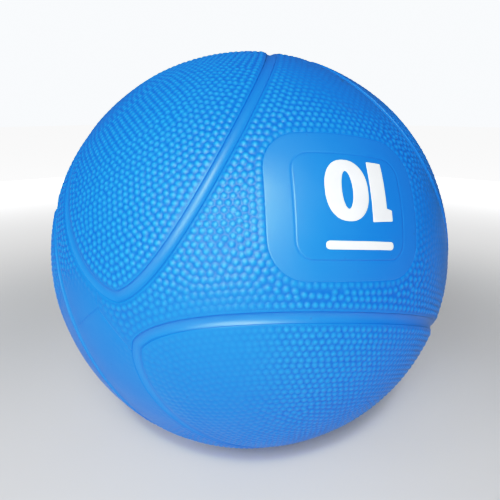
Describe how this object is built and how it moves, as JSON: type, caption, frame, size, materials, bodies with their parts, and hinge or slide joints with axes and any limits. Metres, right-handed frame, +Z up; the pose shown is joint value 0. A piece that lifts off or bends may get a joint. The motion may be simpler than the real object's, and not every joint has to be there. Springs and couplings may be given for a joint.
{
  "type": "medicine ball",
  "caption": "Weighted rubber exercise ball with a pebbled grip, oval panels outlined by smooth channels, a flat label patch and a recessed air valve.",
  "frame": {"origin": "centre of the ball", "axes": "+Z up as the ball lies, -Y towards the label side, +X out through the centre of the valve"},
  "size_m": [0.2287, 0.229, 0.229],
  "materials": {
    "pebbled_rubber": "satin azure blue moulded rubber with a raised pebble grain",
    "smooth_rubber": "smooth satin azure blue rubber",
    "label_film": "smooth satin azure blue film",
    "white_print": "satin white print",
    "carcass_rubber": "matt black filled rubber",
    "nylon": "wound nylon thread in rubber cement",
    "butyl_rubber": "smooth black butyl rubber",
    "valve_rubber": "satin black rubber"
  },
  "bodies": {
    "root": {"oval_panel_left_top": "pebbled_rubber", "oval_panel_front_low": "pebbled_rubber", "oval_panel_right_top": "pebbled_rubber", "oval_panel_left_low": "pebbled_rubber", "oval_panel_rear_top": "pebbled_rubber", "oval_panel_right_low": "pebbled_rubber", "channel_strip_left_top": "smooth_rubber", "channel_strip_front_low": "smooth_rubber", "channel_strip_right_top": "smooth_rubber", "channel_strip_left_low": "smooth_rubber", "channel_strip_rear_top": "smooth_rubber", "channel_strip_right_low": "smooth_rubber", "field_panel_front": "pebbled_rubber", "field_panel_right": "pebbled_rubber", "field_panel_rear_left": "pebbled_rubber", "field_panel_under": "pebbled_rubber", "label_patch": "smooth_rubber", "label_plate": "label_film", "print_digit_one": "white_print", "print_digit_zero": "white_print", "print_bar": "white_print", "weighted_carcass": "carcass_rubber", "nylon_winding": "nylon", "butyl_bladder": "butyl_rubber", "valve_housing": "valve_rubber", "valve_core": "valve_rubber"}
  },
  "joints": []
}
